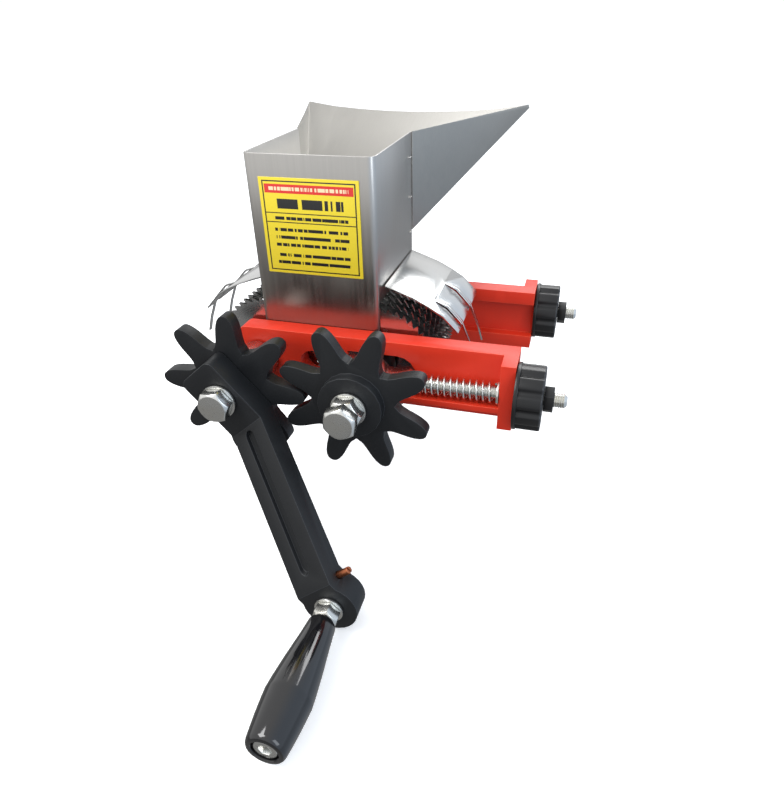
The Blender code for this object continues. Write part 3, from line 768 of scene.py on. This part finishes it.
def spring(name):
    """A round wire wound about the rod."""
    node = f"spring_{name}"
    size = sizes()
    a, b = low(node), high(node)
    coil = (b.z - a.z) / 2 - size.wire - 0.05 * MM
    rod, centre = ROD_AXIS[name], middle(node)
    start, end = a.x + size.wire, b.x - size.wire
    bm = bmesh.new()
    place = Matrix.Translation((start, rod.y, rod.z + coil)) @ Matrix.Rotation(math.pi / 2, 4, "X")
    ring = bmesh.ops.create_circle(bm, cap_ends=False, segments=10, radius=size.wire, matrix=place)
    steps = 28 * size.spring_turns
    bmesh.ops.spin(
        bm, geom=ring["verts"] + bm.edges[:], cent=(0, rod.y, rod.z), axis=(1, 0, 0),
        dvec=((end - start) / steps, 0, 0), angle=math.tau * size.spring_turns, steps=steps,
    )
    bmesh.ops.holes_fill(bm, edges=[edge for edge in bm.edges if edge.is_boundary])
    piece = settle(bm, f"{node}_wound", node, "zinc", smooth=60)
    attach(piece, "root")
    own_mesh(piece)


def knob(name):
    """A fluted hand knob: collar, rounded lobes and a dished face."""
    node = f"knob_{name}"
    size = sizes()
    centre = ROD_AXIS[name]
    start, end = low(node).x, high(node).x
    collar = (high(node).z - low(node).z) / 2
    radius = collar - 0.6 * MM
    steps = size.flutes * 14
    bm = bmesh.new()
    rim = []
    for step in range(steps):
        turn = math.tau * step / steps
        dip = max(0.0, math.cos(turn * size.flutes)) ** 1.3
        reach = radius - 1.7 * MM * dip
        rim.append(bm.verts.new((end, centre.y + reach * math.cos(turn), centre.z + reach * math.sin(turn))))
    face = bm.faces.new(rim)
    bmesh.ops.inset_region(bm, faces=[face], thickness=3.2 * MM, use_even_offset=False)
    bmesh.ops.inset_region(bm, faces=[face], thickness=0.8 * MM, depth=-0.9 * MM, use_even_offset=False)
    bmesh.ops.inset_region(bm, faces=[face], thickness=5.2 * MM, use_even_offset=False)
    bmesh.ops.inset_region(bm, faces=[face], thickness=0.5 * MM, depth=0.9 * MM, use_even_offset=False)
    outer = [edge for edge in bm.edges if edge.is_boundary]
    sides = bmesh.ops.extrude_edge_only(bm, edges=outer)
    moved = [item for item in sides["geom"] if isinstance(item, bmesh.types.BMVert)]
    bmesh.ops.translate(bm, verts=moved, vec=(start + 1.8 * MM - end, 0, 0))
    bmesh.ops.holes_fill(bm, edges=[edge for edge in bm.edges if edge.is_boundary])
    on_face = [edge for edge in bm.edges if all(abs(v.co.x - end) < 1e-6 for v in edge.verts)]
    rim_edges = [edge for edge in on_face if edge.is_manifold and edge.calc_face_angle(0) > 1.0]
    bmesh.ops.recalc_face_normals(bm, faces=bm.faces)
    # The knob face's rounded rim takes the lighter black as a painted highlight.
    for wear_and_highlight in soften(bm, 0.9 * MM, 3, edges=rim_edges):
        wear_and_highlight.material_index = 1
    settle(bm, f"{node}_fluted", node, "black", "black_edge", smooth=40)
    profile = rounded_profile(start, start + 2.2 * MM, size.rod_bore, collar, 0.5 * MM)
    spun(f"{node}_collar", node, centre, "X", profile, "black", steps=80, stands=False)


class MILL_OT_adjusters(bpy.types.Operator):
    """Eye bolts, springs, spring washers, knobs and their lock nuts"""

    bl_idname = "mill.adjusters"
    bl_label = "Gap Adjusters"

    def execute(self, context):
        for name in FRONT_AND_REAR:
            eye(name)
            threaded_rod(name)
            spring(name)
            ring_piece(f"spring_washer_{name}", "X", sizes().rod_bore, "zinc", edge=0.2 * MM)
            knob(name)
            # The nut's rounded edges take the lighter black as a painted highlight.
            softened(f"knob_nut_{name}", sizes().metal_edge * 2, "black", "black_edge")
        return {"FINISHED"}


# ---------------------------------------------------------------- shafts and fasteners


class MILL_OT_shafts(bpy.types.Operator):
    """Shafts, their spacer sleeves and the bushes they turn in"""

    bl_idname = "mill.shafts"
    bl_label = "Shafts"

    def execute(self, context):
        for node in ("drive_shaft", "driven_shaft"):
            ring_piece(node, "Y", 0, "zinc", edge=0.8 * MM)
        for node in ("drive_sleeve", "driven_sleeve"):
            ring_piece(node, "Y", sizes().shaft_bore, "zinc", edge=0.5 * MM)
        for node in ("drive_bush_front", "drive_bush_rear", "slide_bush_front", "slide_bush_rear"):
            ring_piece(node, "Y", sizes().shaft_bore, "black", edge=0.5 * MM)
        return {"FINISHED"}


class MILL_OT_fasteners(bpy.types.Operator):
    """Bolts, nuts and washers on the shaft ends and the grip"""

    bl_idname = "mill.fasteners"
    bl_label = "Fasteners"

    def execute(self, context):
        for node in ("crank_bolt", "driven_bolt", "driven_nut", "grip_nut"):
            softened(node, sizes().metal_edge, "zinc", over=25)
        bolt, screw = sizes().bolt_bore, sizes().rod_bore
        for node, bore in (("crank_washer", bolt), ("driven_washer", bolt), ("grip_washer", screw)):
            ring_piece(node, "Y", bore, "zinc", edge=sizes().metal_edge)
        return {"FINISHED"}


# ---------------------------------------------------------------- studio


def soft_box(name, place, aim, size, power, tint=(1, 1, 1)):
    data = bpy.data.lights.new(name, "AREA")
    data.shape = "RECTANGLE"
    data.size, data.size_y = size
    data.energy = power
    data.color = tint
    lamp = bpy.data.objects.new(name, data)
    lamp.location = place
    lamp.rotation_euler = (Vector(aim) - Vector(place)).to_track_quat("-Z", "Y").to_euler()
    bpy.context.scene.collection.objects.link(lamp)


def stage_sheet(name, size, place, turn, colour, roughness):
    """A plain board that isn't part of the mill."""
    bm = bmesh.new()
    shape = Matrix.Translation(place) @ Euler(turn).to_matrix().to_4x4()
    bmesh.ops.create_grid(bm, x_segments=1, y_segments=1, size=size, matrix=shape)
    mesh = bpy.data.meshes.new(name)
    bm.to_mesh(mesh)
    bm.free()
    board = bpy.data.objects.new(name, mesh)
    bpy.context.scene.collection.objects.link(board)
    sheet = Finish(name, roughness, Base_Color=colour, Emission_Color=colour, Emission_Strength=0.35)
    mesh.materials.append(sheet.material)
    board.visible_diffuse = False
    board.visible_glossy = False


def surroundings():
    """White above the floor, and a dim room below it, cool on the right, that only shows in reflections."""
    world = bpy.data.worlds.new("surroundings")
    world.use_nodes = True
    nodes = Nodes(world.node_tree)
    background = nodes.tree.nodes["Background"]
    direction = nodes.add("ShaderNodeTexCoord").outputs["Generated"]
    rising = ((nodes.part(direction, "Z") + 0.16) * 7).held()
    window = (nodes.part(direction, "X") * 1.4).held()
    plug(nodes.tree, background.inputs["Color"], nodes.mixed(window, (1, 1, 1), (0.74, 0.85, 1.0)))
    plug(nodes.tree, background.inputs["Strength"], 0.26 + rising * 0.76 + window * (1 - rising) * 0.42)
    return world


class MILL_OT_stage(bpy.types.Operator):
    """Pale floor, soft lights, surroundings and the camera"""

    bl_idname = "mill.stage"
    bl_label = "Stage"

    def execute(self, context):
        scene = context.scene
        data = bpy.data.cameras.new("camera")
        data.sensor_fit = "VERTICAL"
        data.sensor_height = 36.0
        data.lens = 29.12
        camera = bpy.data.objects.new("camera", data)
        camera.location = (0.1045, -0.3174, 0.2050)
        turn = Matrix.Rotation(math.radians(16.78), 3, "Z") @ Matrix.Rotation(math.radians(58.41), 3, "X")
        camera.rotation_euler = (turn @ Matrix.Rotation(math.radians(-1.49), 3, "Z")).to_euler()
        scene.collection.objects.link(camera)
        scene.camera = camera
        floor_z = CAD_BOX[0].z - 1 * MM
        stage_sheet("floor", 60.0, (0, 0, floor_z), (0, 0, 0), colours().backdrop, 0.9)
        soft_box("key", (-0.5, -0.35, 0.95), (0, 0, 0.03), (0.6, 0.6), 9)
        soft_box("fill", (0.9, -0.5, 0.55), (0, 0, 0.03), (0.5, 0.7), 3, (0.88, 0.94, 1))
        soft_box("rim", (0.2, 0.95, 0.75), (0, 0.05, 0.05), (0.9, 0.4), 6)
        scene.world = surroundings()
        scene.view_settings.view_transform = "Standard"
        return {"FINISHED"}


# ---------------------------------------------------------------- panel and registration

OPERATORS = (
    MILL_OT_stage,
    MILL_OT_side_frames,
    MILL_OT_hopper,
    MILL_OT_scoop,
    MILL_OT_label,
    MILL_OT_guards,
    MILL_OT_rollers,
    MILL_OT_gears,
    MILL_OT_crank,
    MILL_OT_grip,
    MILL_OT_adjusters,
    MILL_OT_shafts,
    MILL_OT_fasteners,
)


class MILL_PT_panel(bpy.types.Panel):
    """Lists the mill's sizes, colours and building steps"""

    bl_idname = "MILL_PT_panel"
    bl_label = "Olive Scoring Mill"
    bl_space_type = "VIEW_3D"
    bl_region_type = "UI"
    bl_category = "Mill"

    def draw(self, context):
        for settings in (context.scene.mill_sizes, context.scene.mill_colours):
            column = self.layout.column(align=True)
            for name in settings.__annotations__:
                column.prop(settings, name)
        for operator in OPERATORS:
            self.layout.operator(operator.bl_idname)


CLASSES = (MillSizes, MillColours, *OPERATORS, MILL_PT_panel)


def register():
    for item in CLASSES:
        bpy.utils.register_class(item)
    bpy.types.Scene.mill_sizes = PointerProperty(type=MillSizes)
    bpy.types.Scene.mill_colours = PointerProperty(type=MillColours)


def unregister():
    del bpy.types.Scene.mill_colours
    del bpy.types.Scene.mill_sizes
    for item in reversed(CLASSES):
        bpy.utils.unregister_class(item)


def main():
    register()
    for operator in OPERATORS:
        group, action = operator.bl_idname.split(".")
        getattr(getattr(bpy.ops, group), action)()


if __name__ == "__main__":
    main()
